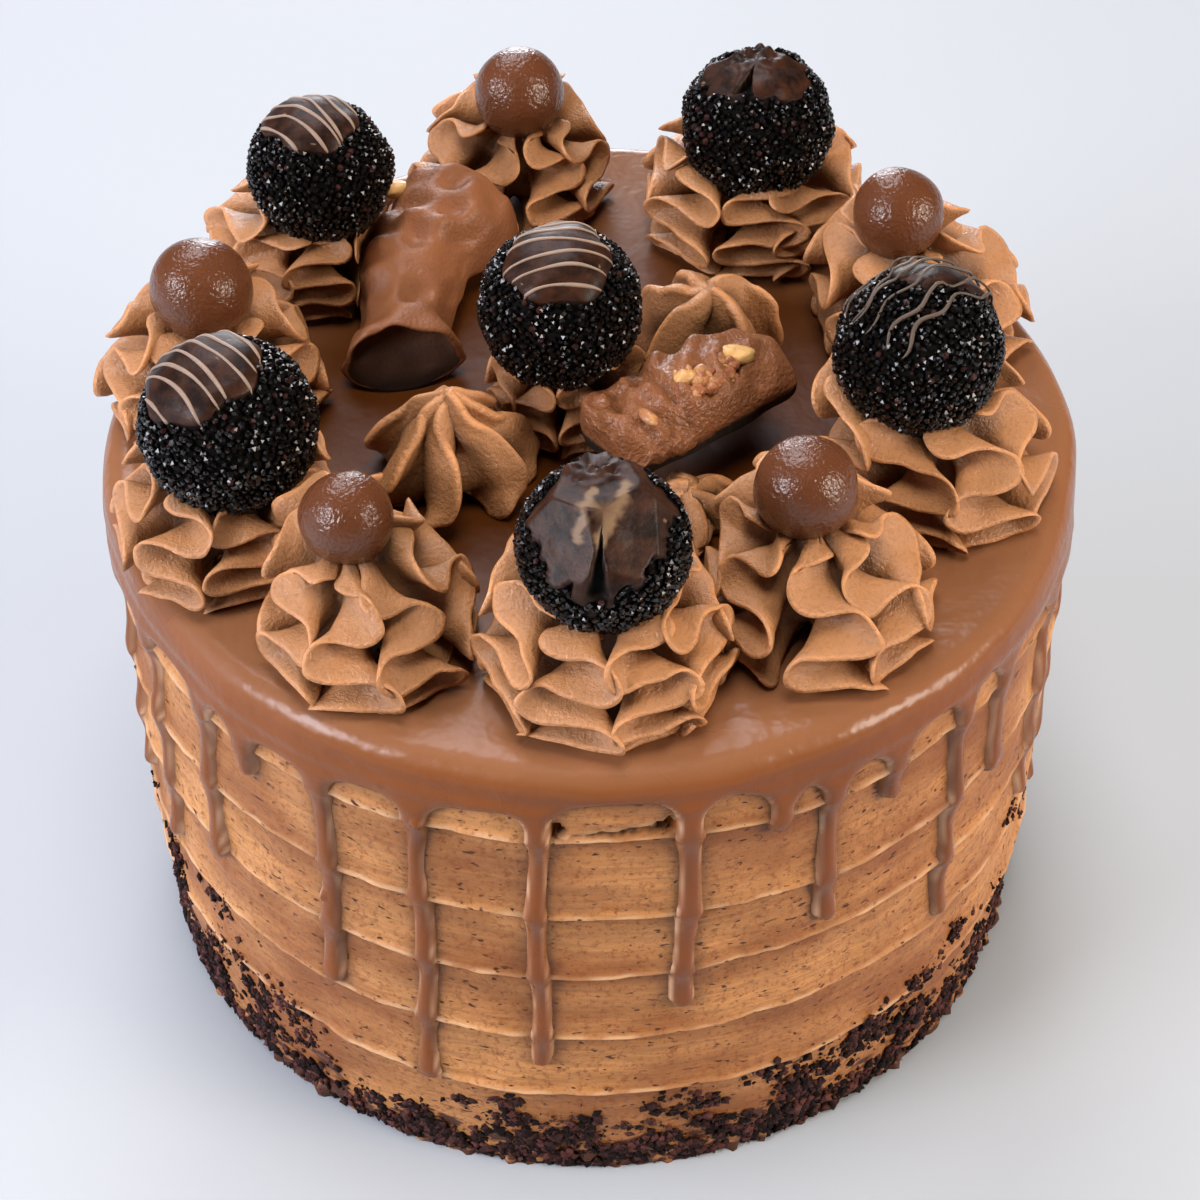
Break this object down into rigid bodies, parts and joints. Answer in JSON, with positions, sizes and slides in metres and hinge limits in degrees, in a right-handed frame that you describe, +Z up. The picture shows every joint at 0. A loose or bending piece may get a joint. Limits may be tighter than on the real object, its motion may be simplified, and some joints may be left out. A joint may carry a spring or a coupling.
{
  "type": "chocolate drip cake",
  "caption": "Round chocolate layer cake iced in buttercream, with poured chocolate drips, piped rosettes, truffles, malt balls and nut bars on top, and crumbs pressed round its foot.",
  "frame": {"origin": "middle of the flat base, on the surface that the cake stands on", "axes": "+Z up through the cake's axis; -Y is the front, the side that the picture shows"},
  "size_m": [0.1782, 0.1779, 0.1516],
  "materials": {
    "buttercream": "satin",
    "piped_buttercream": "satin",
    "ganache": "gloss",
    "truffle_coat": "gloss",
    "malt_chocolate": "satin",
    "bar_chocolate": "satin"
  },
  "bodies": {
    "root": {"cake_body": "buttercream", "poured_chocolate": "ganache", "rosette_1": "piped_buttercream", "rosette_2": "piped_buttercream", "rosette_3": "piped_buttercream", "rosette_4": "piped_buttercream", "rosette_5": "piped_buttercream", "rosette_6": "piped_buttercream", "rosette_7": "piped_buttercream", "rosette_8": "piped_buttercream", "rosette_9": "piped_buttercream", "rosette_10": "piped_buttercream", "rosette_middle": "piped_buttercream", "rosette_star": "piped_buttercream", "rosette_loop": "piped_buttercream", "rosette_low": "piped_buttercream", "truffle_1": "truffle_coat", "truffle_2": "truffle_coat", "truffle_3": "truffle_coat", "truffle_4": "truffle_coat", "truffle_5": "truffle_coat", "truffle_6": "truffle_coat", "malt_ball_1": "malt_chocolate", "malt_ball_2": "malt_chocolate", "malt_ball_3": "malt_chocolate", "malt_ball_4": "malt_chocolate", "malt_ball_5": "malt_chocolate", "nut_bar_1": "bar_chocolate", "nut_bar_2": "bar_chocolate"}
  },
  "joints": []
}
